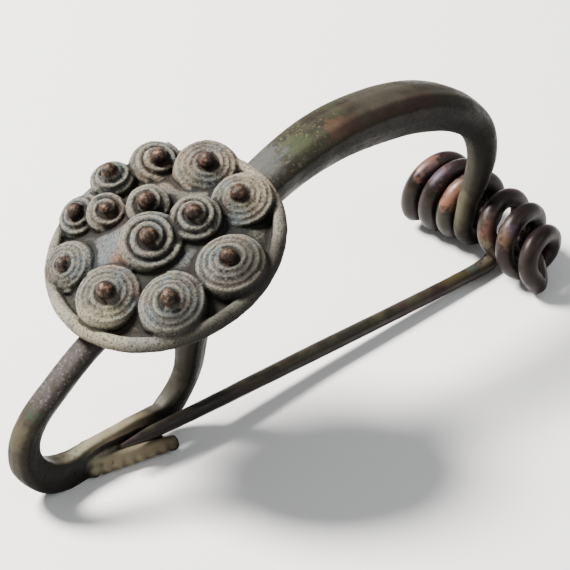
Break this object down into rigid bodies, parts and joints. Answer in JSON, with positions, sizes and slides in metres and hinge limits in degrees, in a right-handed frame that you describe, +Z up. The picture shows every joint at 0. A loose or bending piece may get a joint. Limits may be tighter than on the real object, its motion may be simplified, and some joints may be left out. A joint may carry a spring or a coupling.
{
  "type": "fibula brooch",
  "caption": "Celtic bronze bow brooch with a sprung pin, a ribbed catch and a large domed foot disc covered in cast spirals with knobs.",
  "frame": {"origin": "under the middle of the brooch's box, on the surface that it stands on", "axes": "+X from the foot to the spring, along the brooch; +Y along the spring, away from the catch's open side; +Z up, from the surface towards the bow"},
  "size_m": [0.0964, 0.0344, 0.0402],
  "materials": {
    "bow_bronze": "dark greenish-brown patina, worn and half glossy",
    "pin_bronze": "dark olive-brown patina, worn and half glossy",
    "disc_bronze": "grey-beige grainy patina with coppery knobs"
  },
  "bodies": {
    "brooch": {"bow": "bow_bronze", "disc": "disc_bronze"},
    "needle": {"pin": "pin_bronze"}
  },
  "joints": [
    {"name": "pin_spring", "type": "hinge", "parent": "brooch", "child": "needle", "pos_m": [0.04235, -0.0025, 0.00615], "axis": [0, 1, 0], "range_deg": [0, 6], "stiffness_Nm_per_rad": 1, "springref_deg": -11.46}
  ]
}
